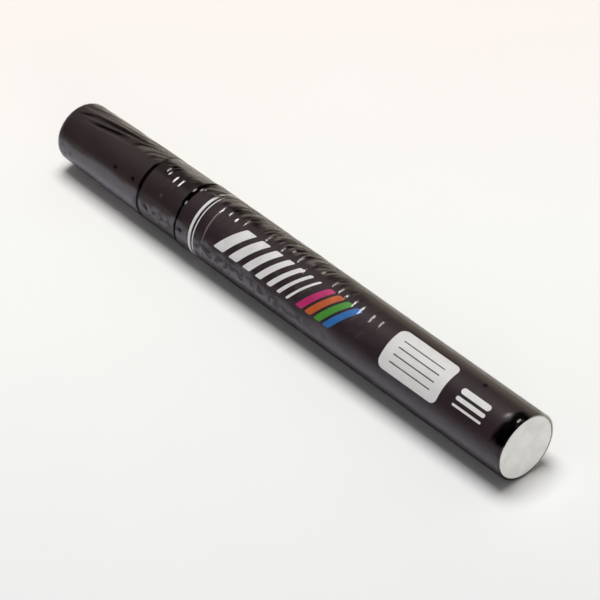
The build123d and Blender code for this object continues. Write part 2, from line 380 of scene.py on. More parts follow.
film_outside = film_material("film_outside", front_gloss=(0.0605, 0.352), rear_gloss=(0.0374, 0.22))
film_inside = film_material("film_inside", front_gloss=(0.002, 0.04), rear_gloss=(0.002, 0.04))

node_materials = {
    "barrel_tube": black_paint,
    "end_plug": white_disc,
    "barrel_gasket": rubber,
    "front_section": black_plastic,
    "nib_holder": white_plastic,
    "nib": fibre,
    "valve_seat": rubber,
    "valve_plunger": valve_plastic,
    "valve_cage": valve_plastic,
    "valve_spring": spring_steel,
    "mixing_ball": ball_steel,
    "cap_shell": black_plastic,
    "inner_cap": white_plastic,
}
for name, material in node_materials.items():
    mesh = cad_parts[name].data
    mesh.materials.clear()
    mesh.materials.append(material)


# Valve spring, as its own copy of the mesh, riding on the barrel

spring = bpy.data.objects.new("wound_valve_spring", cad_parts["valve_spring"].data.copy())
bpy.context.scene.collection.objects.link(spring)
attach(spring, "barrel")
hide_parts("valve_spring")
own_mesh(spring)


# Film on barrel and section
#
# A zone is a first value, a last value and the fade outside them, along X or round the marker.
# A start is where something begins and the length over which it grows.
# A field of random lumps is their cell size each way, their origin on the lattice and its seed.

# Streaks on the far side fade out behind the top
far_zone = (0, 132, 30)

# Folds lean rearward up the far side, by a length for each square degree past their bend
section_lean = 0.0042
barrel_lean = 0.0020
lean_start = (-32, 12)

# Short folds across the near side: place, first and last angle, brightness of the streak down the flank;
# the streak is a glint, partly painted highlight
near_folds = [
    (-37.1, 79, 90, 0.8),
    (-36.05, 75, 84, 0.7),
    (-33.8, 68, 84, 1.2),
    (-32.0, 66, 84, 1.1),
    (-19.2, 71, 84, 1.1),
    (-17.0, 77, 87, 1.2),
    (-14.75, 74, 84, 1.5),
    (-12.5, 76, 94, 0.5),
    (-5.7, 75, 94, 0.6),
    (-1.1, 77, 91, 0.5),
    (0.9, 88, 97, 0.7),
    (3.7, 79, 95, 0.8),
    (6.6, 68, 80, 0.5),
    (9.9, 87, 97, 0.7),
    (14.2, 79, 95, 0.6),
    (16.5, 76, 91, 0.9),
    (18.5, 76, 86, 0.8),
    (21.1, 70, 87, 1.0),
    (23.4, 65, 87, 1.1),
    (26.7, 65, 85, 0.9),
    (29.3, 68, 83, 0.8),
]
near_fold_width = 0.5
near_fold_height = 0.125
near_fold_bend = 88
near_fold_margin = 2
near_fold_fade = 14
near_flank_fade = 0.2
near_flank_gain = 6
near_streak_width = 0.2


def near_side_folds(x, angle):
    """Short folds on the near side: their lift, their rear flanks and the glint streaks down the flanks,
    partly painted highlight.
    """
    lift = np.zeros_like(x)
    flanks = np.zeros_like(x)
    gleams = np.zeros_like(x)
    half_width = near_fold_width / 2
    for place, first, last, brightness in near_folds:
        lean = section_lean if place < film_bridge_x else barrel_lean
        distance = x - place - lean * np.clip(angle - near_fold_bend, 0, None) ** 2
        reach = span(angle, first - near_fold_margin, last + near_fold_margin, near_fold_fade)
        from_crest = distance + half_width
        rise = smooth_step(from_crest / near_fold_width + 1)
        fall = np.clip(1 - from_crest / near_fold_width, 0, 1)
        lift += near_fold_height * reach * np.where(from_crest < 0, rise, fall)
        flank = span(distance, -half_width, half_width, near_flank_fade)
        flanks = np.maximum(flanks, flank * smooth_step(near_flank_gain * reach))
        along = (2 * angle - first - last) / (last - first)
        taper = np.clip(1 - along ** 2, 0, 1)
        gleams = np.maximum(gleams, brightness * taper * ridge(distance, near_streak_width))
    return lift, flanks, gleams


# Rounded folds on the far side: where the row begins and ends, and the ranges that chance picks from
far_fold_ends = (-39.0, 34)
far_fold_fade = 14
far_fold_seed = 23
far_fold_firsts = (150, 215)
far_fold_reaches = (20, 45)
far_fold_widths = (0.32, 0.5)
far_fold_heights = (0.06, 0.12)
far_fold_gaps = (1.4, 3.0)


def far_side_lift(x, angle):
    """Lift of the rounded folds on the far side."""
    chance = np.random.default_rng(far_fold_seed)
    lift = np.zeros_like(x)
    place, end = far_fold_ends
    while place < end:
        first = chance.uniform(*far_fold_firsts)
        last = first + chance.uniform(*far_fold_reaches)
        width = chance.uniform(*far_fold_widths)
        height = chance.uniform(*far_fold_heights)
        lift += height * ridge(x - place, width) * span(angle, first, last, far_fold_fade)
        place += chance.uniform(*far_fold_gaps)
    return lift


# Where the crests of fine folds begin to turn milky, partly as painted highlight, and their hollows painted
# shade
light_start = (0.10, 0.30)
dark_start = (0.05, 0.30)


def streaks(along, across, field):
    """Fine folds side by side: their shape from -1 to 1, and how much each place is painted light and
    painted shade.
    """
    shape = lumps(along, across, *field)
    return shape, past(shape, *light_start), past(-shape, *dark_start)


# Fine folds up the far side, with milky crests that are partly painted highlight and hollows painted as
# shade;
# on the section they whiten further round, with a painted pale line and painted shade on the crown
far_streak_field = ((0.45, 22), (100, 20), 14)
far_streak_bend = 84
far_streak_start = (84, 12)
far_streak_rear_start = (4, 24)
far_streak_height = 0.06
far_streak_milk = 0.13
far_streak_shade = 0.75
section_rear_start = (-30, 3)
section_fan_start = (92, 12)
section_more_milk = 0.07
section_more_shade = 0.1
section_highlight_milk = 0.22
section_line_zone = (108, 126, 9)
section_crown_shade = 0.4
section_crown_zone = (76, 96, 10)


def far_side_streaks(x, angle):
    """Fine folds up the far side, bent rearward: their lift, their milkiness with painted highlight and
    their painted shade.
    """
    lean = section_lean - (section_lean - barrel_lean) * past(x, *lean_start)
    bend = lean * np.clip(angle - far_streak_bend, 0, None) ** 2
    shape, light, dark = streaks(x - bend, angle, far_streak_field)
    reach = past(angle, *far_streak_start) * span(angle, *far_zone) * (1 - past(x, *far_streak_rear_start))
    on_section = 1 - past(x, *section_rear_start)
    fan = 1 - on_section * (1 - past(angle, *section_fan_start))
    milk_and_highlight = strongest(
        (far_streak_milk + section_more_milk * on_section) * light * reach * fan,
        section_highlight_milk * on_section * span(angle, *section_line_zone),
    )
    shade = strongest(
        (far_streak_shade + section_more_shade * on_section) * dark * reach,
        section_crown_shade * on_section * span(angle, *section_crown_zone) * (1 - light * reach),
    )
    return far_streak_height * shape * reach, milk_and_highlight, shade


# Blisters low down on the near side
fine_blister_field = ((0.7, 0.55), (77, 50), 3)
coarse_blister_field = ((1.9, 1.2), (100, 100), 4)
coarse_blister_share = 0.4
blister_zone = (-75, 8, 10)
blister_rear_start = (4, 30)
blister_height = 0.015
blister_edge = 0.3
blister_dulling = 0.9

# Bright band along the near side: its upper edge wavers at the front and drops towards the rear
band_rear_start = (5, 30)
band_upper = 14
band_rear_drop = 10
band_waver = 7
band_waver_field = ((2.6, 1), (90, 5), 9)
band_upper_blur = 7
band_rear_blur = 15
upper_dulling = 0.88
crown_start = (32, 12)

# Below the band the film dulls, on the barrel lower down and more than on the section, and less at the rear
barrel_start = (-28, 6)
band_lower = 3
band_barrel_drop = 4
band_lower_blur = 16
section_dulling = 0.8
barrel_more_dulling = 0.2
lower_dulling = 0.9
rear_less_dulling = 0.1
rear_dulling_start = (25, 10)


def near_side_band(x, angle, arc):
    """Blisters and bright band on the near side: the blisters' lift, and how dull the film is."""
    low_side = span(angle, *blister_zone) * (1 - past(x, *blister_rear_start))
    blisters = lumps(x, arc, *fine_blister_field)
    blisters = blisters + coarse_blister_share * lumps(x, arc, *coarse_blister_field)
    rear = past(x, *band_rear_start)
    waver = lumps(x, np.zeros_like(x), *band_waver_field)
    upper = band_upper + band_waver * waver * (1 - rear) - band_rear_drop * rear
    upper_blur = band_upper_blur + band_rear_blur * rear
    on_barrel = past(x, *barrel_start)
    lower = band_lower - band_barrel_drop * on_barrel
    depth = section_dulling + barrel_more_dulling * on_barrel
    depth = depth * (lower_dulling - rear_less_dulling * past(x, *rear_dulling_start))
    dull = strongest(
        blister_dulling * smooth_step(blisters / blister_edge) * low_side,
        upper_dulling * past(angle, upper, upper_blur) * (1 - past(angle, *crown_start)),
        depth * past(angle, lower, -band_lower_blur),
    )
    return blister_height * blisters * low_side, dull


# Raised ring round the near side, milky, with painted highlight that grows towards the top
ring_x = -19.25
ring_width = 0.15
ring_height = 0.06
ring_zone = (-12, 84, 6)
ring_milk = 0.18
ring_top_highlight = 0.16
ring_top_start = (20, 40)

# Pale crease line on the top, behind the section
crease_line_x = -24.5
crease_line_angle = 94
crease_line_curve = 0.3
crease_line_width = 0.15
crease_line_zone = (-24, -17, 1.5)
crease_line_milk = 0.22

# Slanted scuffs on the near side, and a faint haze that reaches above them
scuff_slant = 0.05
scuff_angle = 50
scuff_field = ((0.5, 8), (60, 20), 17)
scuff_start = (0.45, 0.3)
scuff_x_zone = (-10, 26, 6)
scuff_angle_zone = (38, 64, 6)
scuff_milk = 0.04
haze_x_zone = (-16, 44, 8)
haze_angle_zone = (48, 74, 10)
haze_milk = 0.010


def barrel_marks(x, angle, arc):
    """Ring, crease line and scuffs in the barrel's film: the ring's lift, and the milkiness of all, on the
    ring partly painted highlight.
    """
    ring = ridge(x - ring_x, ring_width) * span(angle, *ring_zone)
    along = x - crease_line_x
    line_angle = crease_line_angle + along + crease_line_curve * along ** 2
    from_line = arc - arc_length(line_angle, section_film_radius)
    crease_line = ridge(from_line, crease_line_width) * span(x, *crease_line_zone)
    scuffs = lumps(x - scuff_slant * (angle - scuff_angle), angle, *scuff_field)
    scuffs = past(scuffs, *scuff_start) * span(x, *scuff_x_zone) * span(angle, *scuff_angle_zone)
    haze = span(x, *haze_x_zone) * span(angle, *haze_angle_zone)
    milk_and_highlight = strongest(
        (ring_milk + ring_top_highlight * past(angle, *ring_top_start)) * ring,
        crease_line_milk * crease_line,
        scuff_milk * scuffs + haze_milk * haze,
    )
    return ring_height * ring, milk_and_highlight


# Patch at the rear end, painted dark as shade where the film clings, with a frayed front edge that comes
# forward low down
frayed_field = ((1.2, 1.5), (60, 60), 21)
patch_front_x = 66.1
patch_front_slope = 0.022
patch_front_angle = 74
patch_front_reach = 45
patch_fray = 0.35
patch_blur = 1.3
patch_zone = (36, 90, 12)
patch_angle_fray = 5
patch_depth = 0.9
patch_depth_fray = 0.1

# Painted highlight smeared across the front edge of the patch
smear_x = 65.2
smear_length = 0.55
smear_angle = 75
smear_slant = 4
smear_width = 4.5
smear_highlight_milk = 0.38


def rear_patch_and_highlight(x, angle, arc):
    """Patch at the rear end where the film clings and is painted dark, and the painted highlight smeared
    across it.
    """
    frayed = lumps(x, arc, *frayed_field)
    below = np.clip(patch_front_angle - angle, 0, patch_front_reach)
    front = patch_front_x - patch_front_slope * below + patch_fray * frayed
    patch = soft_edge(x - front, patch_blur) * span(angle + patch_angle_fray * frayed, *patch_zone)
    patch = patch * (patch_depth + patch_depth_fray * frayed)
    from_smear = x - smear_x
    from_slant = angle - smear_angle - smear_slant * from_smear
    smear_highlight = ridge(from_smear, smear_length) * ridge(from_slant, smear_width)
    return patch * (1 - smear_highlight), smear_highlight


# Painted shade along the ragged seam in front of the barrel, wider over the top
ragged_field = ((0.7, 0.7), (111, 31), 8)
seam_x = -27.85
seam_half = 0.28
seam_top_half = 0.36
seam_top_zone = (54, 106, 8)
seam_fray = 0.12
seam_blur = 0.3


def front_seam_shade(x, angle, arc):
    """Painted shade along the seam between section and barrel, where the film clings."""
    half = seam_half + seam_top_half * span(angle, *seam_top_zone) + seam_fray * lumps(x, arc, *ragged_field)
    return soft_edge(half - np.abs(x - seam_x), seam_blur)


# Painted glints: place, first and last angle, milkiness
painted_glint_places = [
    (-28.2, 77, 82, 0.8),
    (-27.1, 85, 89, 0.7),
    (-26.6, 91, 92, 0.6),
    (-27.4, 52, 56, 0.5),
    (-34.1, 39, 41, 0.2),
    (67.8, 75, 80, 0.8),
]
glint_width = 0.17
glint_fade = 2


def painted_glint_milk(x, angle):
    """Milkiness of the painted glints."""
    glints = np.zeros_like(x)
    for place, first, last, milkiness in painted_glint_places:
        reach = span(angle, first, last, glint_fade)
        glints = np.maximum(glints, milkiness * ridge(x - place, glint_width) * reach)
    return glints


# Small round pits, each dented and painted dark as shade: place and angle
barrel_pits = ((-37.5, 3), (-26.2, 10), (56.2, 95))
cap_pits = ((-48.8, 34), (-43.0, 35))
pit_width = 0.42
pit_depth = 0.03


def pits(x, arc, places):
    """Small round dents, as a share of their depth; each place has an x and an angle."""
    dents = np.zeros_like(x)
    for place, angle in places:
        reach = np.hypot(x - place, arc - arc_length(angle, section_film_radius))
        dents = np.maximum(dents, ridge(reach, pit_width))
    return dents


# Long waves, which calm towards the rear
barrel_wave_field = ((3.2, 2.4), (60, 20), 5)
wave_height = 0.030
calm_share = 0.75
calm_start = (15, 20)

# Streaks down the flanks of the near folds: glossier, and milky as painted highlight, more so towards the
# top
gleam_sheen = 2.2
gleam_milk = 0.10
gleam_top_milk = 0.70
gleam_top_start = (79, 7)

# Brighter line along the far side of the barrel
far_line_sheen = 0.9
far_line_zone = (104, 112, 10)
far_line_start = (-27, 3)

# Pale lip of the film on the far side of the rear rim, painted highlight
lip_start = (68.15, 0.2)
lip_zone = (135, 225, 25)
lip_highlight = 0.7

# Painted shade on the underside, and the gloss that is lost where the film clings
underside_start = (-12, -20)
underside_shade = 0.35
cling_dulling = 0.9


def barrel_film_shape(x, angle):
    """Film on barrel and section: its lift in millimetres, its sheen, its milkiness with painted highlight
    and its painted shade.
    """
    arc = arc_length(angle, section_film_radius)
    fold_lift, flanks, gleams = near_side_folds(x, angle)
    streak_lift, streak_milk, streak_shade = far_side_streaks(x, angle)
    blister_lift, dull = near_side_band(x, angle, arc)
    ring_lift, mark_milk = barrel_marks(x, angle, arc)
    patch, smear_highlight = rear_patch_and_highlight(x, angle, arc)
    dents = pits(x, arc, barrel_pits)
    glints = painted_glint_milk(x, angle)
    # Where the film clings, in the rear patch, the seam and the pits, it loses gloss and is painted dark as
    # shade
    cling_and_shade = strongest(patch, front_seam_shade(x, angle, arc), dents) * (1 - glints)

    waves = wave_height * lumps(x, arc, *barrel_wave_field) * (1 - calm_share * past(x, *calm_start))
    lift = fold_lift + far_side_lift(x, angle) + streak_lift + blister_lift + waves + ring_lift
    lift = lift - pit_depth * dents
    gleam = 1 + flanks * (gleam_sheen * gleams - 1)
    far_line = 1 + far_line_sheen * span(angle, *far_line_zone) * past(x, *far_line_start)
    sheen = (1 - cling_dulling * cling_and_shade) * (1 - dull) * gleam * far_line
    painted_gleam = (gleam_milk + gleam_top_milk * past(angle, *gleam_top_start)) * gleams
    milk_and_highlight = strongest(painted_gleam, streak_milk, mark_milk, smear_highlight_milk * smear_highlight) * (1 - cling_and_shade)
    milk_and_highlight = strongest(milk_and_highlight, glints, lip_highlight * past(x, *lip_start) * span(angle, *lip_zone))
    shade = strongest(streak_shade, underside_shade * past(angle, *underside_start), cling_and_shade)
    return lift, sheen, milk_and_highlight, shade


# Film on the cap

# Long folds: points of x and angle, height, widths of the lower and the upper flank
cap_folds = [
    (((-63.5, 66), (-60.8, 67), (-56.4, 72.5), (-50.3, 77), (-46.5, 80)), 0.17, 1.3, 0.36),
    (((-64.5, 74), (-62.9, 76), (-58.2, 82), (-53.1, 89), (-49.4, 96), (-46.0, 104)), 0.22, 0.42, 0.50),
    (((-66.0, 81), (-61.8, 93), (-58.0, 99), (-53.0, 103), (-48.0, 110)), 0.18, 0.40, 0.50),
    (((-66.0, 150), (-58.0, 146), (-50.0, 151)), 0.12, 0.50, 0.50),
    (((-65.0, 171), (-58.0, 166), (-46.0, 174)), 0.15, 0.45, 0.50),
    (((-66.0, 196), (-57.0, 190), (-48.0, 193)), 0.12, 0.50, 0.50),
    (((-64.0, 219), (-56.0, 214), (-45.0, 221)), 0.12, 0.50, 0.50),
]
# Milky crests on the folds, partly painted highlight: milkiness for each millimetre of height, offset and
# width
crest_milk = 0.18
crest_offset = 0.2
crest_width = 0.26

# Creases between the folds, painted dark as shade: points of x and angle, width, depth
cap_shaded_creases = [
    (((-61.6, 73), (-59.6, 76), (-57.5, 80), (-55.2, 83.5), (-52.6, 88), (-49.4, 93)), 0.32, 1.0),
    (((-66.2, 76), (-65.4, 78), (-61.8, 89), (-59.1, 95)), 0.28, 1.0),
    (((-58.0, 96), (-53.0, 100), (-48.5, 106)), 0.30, 0.6),
]

# Curves along the cap: where they are measured from, and how they end
curve_middle_x = -55
curve_power = 3
curve_front_inset = 3.0
curve_rear_inset = 5.0
curve_fade = 4.0


def along_cap(points, x, arc):
    """Distance in millimetres across a curve along the cap, and the curve's reach along X."""
    points = np.array(points)
    curve = np.polyfit(points[:, 0] - curve_middle_x, points[:, 1], min(curve_power, len(points) - 1))
    middle = arc_length(np.polyval(curve, x - curve_middle_x), section_film_radius)
    first = points[0, 0] + curve_front_inset
    last = points[-1, 0] - curve_rear_inset
    return arc - middle, span(x, first, last, curve_fade)


# Fine folds along the cap's top, above a slanted line
top_streak_field = ((3.2, 6), (60, 30), 12)
top_line_x = -63
top_line_angle = 76
top_line_slope = 1.45
top_line_start = (2, 8)
top_streak_start = (84, 12)
top_streak_zone = (-65, -46, 3)
top_streak_height = 0.05
top_streak_milk = 0.07
top_streak_shade = 0.75


def cap_top_streaks(x, angle):
    """Fine folds along the cap's top: their lift, their milkiness with painted highlight and their painted
    shade.
    """
    above = angle - top_line_angle - top_line_slope * (x - top_line_x)
    shape, light, dark = streaks(above, x, top_streak_field)
    reach = past(above, *top_line_start) * past(angle, *top_streak_start)
    reach = reach * span(x, *top_streak_zone) * span(angle, *far_zone)
    lift = top_streak_height * shape * reach
    return lift, top_streak_milk * light * reach, top_streak_shade * dark * reach


# Fine folds that bend round towards the cap's mouth, crossed by a pale line of painted highlight, with
# painted shade in their hollows
mouth_streak_field = ((0.55, 26), (110, 20), 15)
mouth_lean = 0.0072
mouth_bend = 82
mouth_streak_start = (80, 12)
mouth_streak_zone = (-47.5, -40, 3)
mouth_streak_height = 0.06
mouth_lift_start = (90, 8)
mouth_streak_milk = 0.11
mouth_highlight_milk = 0.10
mouth_line_zone = (114, 126, 9)
mouth_streak_shade = 0.85


def cap_mouth_streaks(x, angle):
    """Fine folds by the cap's mouth: their lift, their milkiness with painted highlight and their painted
    shade.
    """
    bend = mouth_lean * np.clip(angle - mouth_bend, 0, None) ** 2
    shape, light, dark = streaks(x - bend, angle, mouth_streak_field)
    reach = past(angle, *mouth_streak_start) * span(x, *mouth_streak_zone) * span(angle, *far_zone)
    lift = mouth_streak_height * shape * reach * past(angle, *mouth_lift_start)
    milk_and_highlight = reach * strongest(mouth_streak_milk * light, mouth_highlight_milk * span(angle, *mouth_line_zone))
    return lift, milk_and_highlight, mouth_streak_shade * dark * reach


# Bright band along the cap's near side: its upper edge climbs towards the mouth and wavers
cap_upper = 12
cap_upper_climb = 6
cap_climb_start = (-60, 5)
cap_waver = 2.5
cap_waver_field = ((2.5, 1), (60, 7), 4)
cap_upper_blur = 9

# Duller underside, crown and mouth, and crumples by the cap's end
cap_underside_start = (-14, -16)
cap_underside_dulling = 0.10
cap_mouth_more_dulling = 0.25
cap_mouth_more_start = (-50, 6)
cap_crown_dulling = 0.45
cap_crown_angle_zone = (84, 104, 8)
cap_crown_x_zone = (-61, -49, 4)
cap_mouth_dulling = 0.45
cap_mouth_start = (-42.4, 1.2)
cap_mouth_upper_start = (6, 10)
crumple_field = ((0.9, 1.1), (80, 40), 11)
crumple_edge = 0.4
crumple_dulling = 0.6
crumple_x_zone = (-65.5, -63, 1.2)
crumple_angle_zone = (-14, 8, 6)


def cap_dulling(x, angle, arc):
    """How dull the cap's film is round its bright band, on its crown and at its two ends."""
    waver = lumps(x, np.zeros_like(x), *cap_waver_field)
    upper = cap_upper + cap_upper_climb * past(x, *cap_climb_start) + cap_waver * waver
    underside = cap_underside_dulling + cap_mouth_more_dulling * past(x, *cap_mouth_more_start)
    crumples = smooth_step(lumps(x, arc, *crumple_field) / crumple_edge)
    return strongest(
        upper_dulling * past(angle, upper, cap_upper_blur) * (1 - past(angle, *crown_start)),
        underside * past(angle, *cap_underside_start),
        cap_crown_dulling * span(angle, *cap_crown_angle_zone) * span(x, *cap_crown_x_zone),
        cap_mouth_dulling * past(x, *cap_mouth_start) * (1 - past(angle, *cap_mouth_upper_start)),
        crumple_dulling * crumples * span(x, *crumple_x_zone) * span(angle, *crumple_angle_zone),
    )


# Painted shade along the cap's mouth, wider on the near side and fainter from the top on
mouth_half = 0.22
mouth_near_half = 0.16
mouth_near_zone = (36, 74, 10)
mouth_blur = 0.2
mouth_top_loss = 0.6
mouth_top_start = (76, 10)

# Long waves, and pleats round the cap's end
cap_wave_field = ((5.0, 3.0), (60, 20), 6)
pleat_count = 26
pleat_height = 0.04
pleat_start = (-66.0, -1.5)


def cap_film_shape(x, angle):
    """Film on the cap: its lift in millimetres, its sheen, its milkiness with painted highlight and its
    painted shade.
    """
    arc = arc_length(angle, section_film_radius)
    lift = np.zeros_like(x)
    milk_and_highlight = np.zeros_like(x)
    for points, height, low_width, high_width in cap_folds:
        distance, reach = along_cap(points, x, arc)
        lift += height * lopsided_ridge(distance, low_width, high_width) * reach
        milk_and_highlight = np.maximum(milk_and_highlight, crest_milk * height * ridge(distance - crest_offset, crest_width) * reach)
    half = mouth_half + mouth_near_half * span(angle, *mouth_near_zone)
    cling_and_shade = soft_edge(half - np.abs(x - cap_mouth_x), mouth_blur)
    cling_and_shade = cling_and_shade * (1 - mouth_top_loss * past(angle, *mouth_top_start))
    for points, width, depth in cap_shaded_creases:
        distance, reach = along_cap(points, x, arc)
        cling_and_shade = np.maximum(cling_and_shade, depth * ridge(distance, width) * reach)
    dents = pits(x, arc, cap_pits)
    cling_and_shade = np.maximum(cling_and_shade, dents)

    top_lift, top_milk, top_shade = cap_top_streaks(x, angle)
    mouth_lift, mouth_milk, mouth_shade = cap_mouth_streaks(x, angle)
    waves = wave_height * lumps(x, arc, *cap_wave_field)
    pleats = pleat_height * np.cos(np.radians(angle * pleat_count)) * past(x, *pleat_start)
    lift = lift + top_lift + mouth_lift + waves + pleats - pit_depth * dents
    sheen = (1 - cling_dulling * cling_and_shade) * (1 - cap_dulling(x, angle, arc))
    milk_and_highlight = strongest(milk_and_highlight, top_milk, mouth_milk) * (1 - cling_and_shade)
    return lift, sheen, milk_and_highlight, strongest(top_shade, mouth_shade, cling_and_shade)


# Film meshes

# Round the marker: coarse below and behind, finer in front, finest over the top
under_angles = (-90, -40, 5.0)
front_angles = (-40, 40, 2.0)
top_angles = (40, 150)
behind_angles = (150, 270, 4.0)

# The film lies flat where the marker rests on it, and its dents are at most half as deep as its wall
lifted_zone = (-70, 250, 15)
deepest_dent = film_wall / 2

rim_points = 6
cap_end_points = 10


def shell_faces(rows, columns):
    """Quads of a closed shell whose rows run out along the outside and back along the inside."""
    grid = np.arange(rows * columns).reshape(rows, columns)
    next_grid = np.roll(grid, -1, axis=0)
    corners = [grid, np.roll(grid, -1, axis=1), np.roll(next_grid, -1, axis=1), next_grid]
    return np.stack(corners, axis=-1).reshape(-1, 4).tolist()


def film_piece(name, outside, inside, shape, fine_step, body, node):
    """A thin shell between an outside and an inside outline, its outside lifted by folds."""
    angles = steps(under_angles, front_angles, (*top_angles, fine_step), behind_angles)
    outside = np.array(outside)
    run = np.gradient(outside, axis=0)
    run /= np.linalg.norm(run, axis=1)[:, None]
    x, angle = np.meshgrid(outside[:, 0], angles, indexing="ij")
    lift, sheen, milk_and_highlight, shade = shape(x, angle)
    height = np.maximum(lift, -deepest_dent) * span(angle, *lifted_zone)
    side = np.sign(outside[-1, 0] - outside[0, 0])
    out_x = x - side * run[:, 1:2] * height
    out_radius = outside[:, 1:2] + side * run[:, 0:1] * height
    inside = np.array(inside)
    in_x, in_angle = np.meshgrid(inside[:, 0], angles, indexing="ij")
    outer = round_places(out_x, out_radius, angle)
    inner = round_places(in_x, inside[:, 1:2], in_angle)
    places = np.concatenate([outer, inner]).reshape(-1, 3)
    faces = shell_faces(len(outside) + len(inside), len(angles))
    if side > 0:
        faces = [face[::-1] for face in faces]
    piece = new_piece(name, places, faces, [film_outside, film_inside], body)
    index = np.ones(len(faces), int)
    index[: (len(outside) - 1) * len(angles)] = 0
    piece.data.polygons.foreach_set("material_index", index)
    for label, field, plain in (("sheen", sheen, 1), ("milk_and_highlight", milk_and_highlight, 0), ("shade", shade, 0)):
        values = np.full(len(places), float(plain))
        values[: x.size] = field.ravel()
        piece.data.attributes.new(label, "FLOAT", "POINT").data.foreach_set("value", values)
    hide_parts(node)


def rounded(centre_x, centre_radius, radius, first, last, count):
    """Outline points on an arc; its angles run from straight out towards +X."""
    points = []
    for step in range(count):
        turn = math.radians(first + (last - first) * step / (count - 1))
        points.append((centre_x + radius * math.sin(turn), centre_radius + radius * math.cos(turn)))
    return points


def barrel_film_outline(offset, stations):
    """Outline of the film on section and barrel, out to the folded rear lip."""
    outline = []
    for x in stations:
        step = smooth_step((x - film_bridge_x) / (barrel_front_x - film_bridge_x))
        radius = section_film_radius + (barrel_film_radius - section_film_radius) * step
        outline.append((x, float(radius) - offset))
    corner_x = film_rear_x - film_rim_round
    corner_radius = barrel_film_radius - film_rim_round
    outline += rounded(corner_x, corner_radius, film_rim_round - offset, 0, 90, rim_points)
    outline.append((film_rear_x - offset, film_lip_radius))
    return outline


def cap_film_outline(offset, stations):
    """Outline of the film on the cap, from its mouth round its end to the opening."""
    taper = (section_film_radius - cap_film_end_radius) / (cap_mouth_x - cap_film_end_x)
    outline = [(x, section_film_radius - offset - taper * max(cap_mouth_x - x, 0)) for x in stations]
    corner_x = cap_film_end_x + cap_film_round
    corner_radius = cap_film_end_radius - cap_film_round
    outline += rounded(corner_x, corner_radius, cap_film_round - offset, 0, -90, cap_end_points)
    outline.append((cap_film_end_x + offset, cap_film_opening))
    return outline


# Stations along the films, closer together where they are folded
barrel_outside_stations = steps(
    (section_front_x, -38.5, 0.15),
    (-38.5, -31, 0.1),
    (-31, -26, 0.14),
    (-26, -20, 0.18),
    (-20, 31, 0.15),
    (31, 64, 0.6),
    (64, 68.2, 0.15),
)
barrel_inside_stations = steps(
    (section_front_x, film_bridge_x, 3.0),
    (film_bridge_x, -27.4, 0.2),
    (-26, 68, 4.0),
)
cap_stations_end = -66.4
cap_outside_stations = steps((film_mouth_x, cap_stations_end, -0.15))
cap_inside_stations = steps((film_mouth_x, cap_stations_end, -3.0))

film_piece(
    "wrinkled_barrel_film",
    barrel_film_outline(0, barrel_outside_stations),
    barrel_film_outline(film_wall, barrel_inside_stations)[::-1],
    barrel_film_shape,
    fine_step=1.5,
    body="barrel",
    node="barrel_film",
)
film_piece(
    "wrinkled_cap_film",
    cap_film_outline(0, cap_outside_stations),
    cap_film_outline(film_wall, cap_inside_stations)[::-1],
    cap_film_shape,
    fine_step=1.0,
    body="cap",
    node="cap_film",
)


# Print

# Printed patches: steps in degrees and in millimetres, points in a corner, share of it that is rounded
print_angle_step = 2
print_x_step = 4
print_corner_points = 9
corner_reach_share = 0.99


def ink_material(name, dark, light):
    """Printed ink with a little unevenness."""
    return solid_material(
        name, dark, light, roughness=(0.40, 0.55), grain=5000.0, depth=0.000003, patch=500.0, specular=0.3
    )


def slab(x, angle, low_radius, high_radius, places, faces):
    """Adds a thin closed layer of ink over a grid of places on the barrel."""
    count = x.size
    grid = np.arange(count).reshape(x.shape) + sum(len(group) for group in places)
    for radius in (high_radius, low_radius):
        places.append(round_places(x, radius, angle).reshape(-1, 3))
    corners = [grid[:-1, :-1], grid[:-1, 1:], grid[1:, 1:], grid[1:, :-1]]
    for face in np.stack(corners, axis=-1).reshape(-1, 4).tolist():
        faces.append(face)
        faces.append([corner + count for corner in face[::-1]])
    border = np.concatenate([grid[0], grid[1:, -1], grid[-1, -2::-1], grid[-2:0:-1, 0]]).tolist()
    for corner, following in zip(border, border[1:] + border[:1]):
        faces.append([corner, corner + count, following + count, following])


def band(x_low, x_high, angle_low, angle_high, slant=0.0, corner=0.0):
    """A grid over a patch of the barrel, slanted by a shift along X, with rounded corners."""
    half = (angle_high - angle_low) / 2 * math.radians(1) * ink_high_radius
    angle_count = max(3, int((angle_high - angle_low) / print_angle_step) + 2)
    angles = np.linspace(angle_low, angle_high, angle_count)
    if corner:
        ends = np.linspace(0, math.degrees(corner / ink_high_radius), print_corner_points)
        angles = np.unique(np.concatenate([angle_low + ends, angles, angle_high - ends]).round(4))
    shares = np.linspace(0, 1, max(2, int((x_high - x_low) / print_x_step) + 2))
    from_middle = np.abs(np.radians(angles - (angle_low + angle_high) / 2) * ink_high_radius)
    drop = np.clip(from_middle - (half - corner), 0, corner_reach_share * corner)
    inset = corner - np.sqrt(np.clip(corner * corner - drop * drop, 0, None))
    low = x_low + inset
    high = x_high - inset
    shift = slant * (angles - angle_low) / (angle_high - angle_low)
    x = (low + shift)[None, :] + shares[:, None] * (high - low)[None, :]
    return x, np.repeat(angles[None, :], len(shares), axis=0)


def print_piece(name, patches, material, low_radius=ink_low_radius, high_radius=ink_high_radius):
    """All patches of one ink as one piece on the barrel."""
    places = []
    faces = []
    for x, angle in patches:
        slab(x, angle, low_radius, high_radius, places, faces)
    new_piece(name, np.concatenate(places), faces, [material], "barrel")


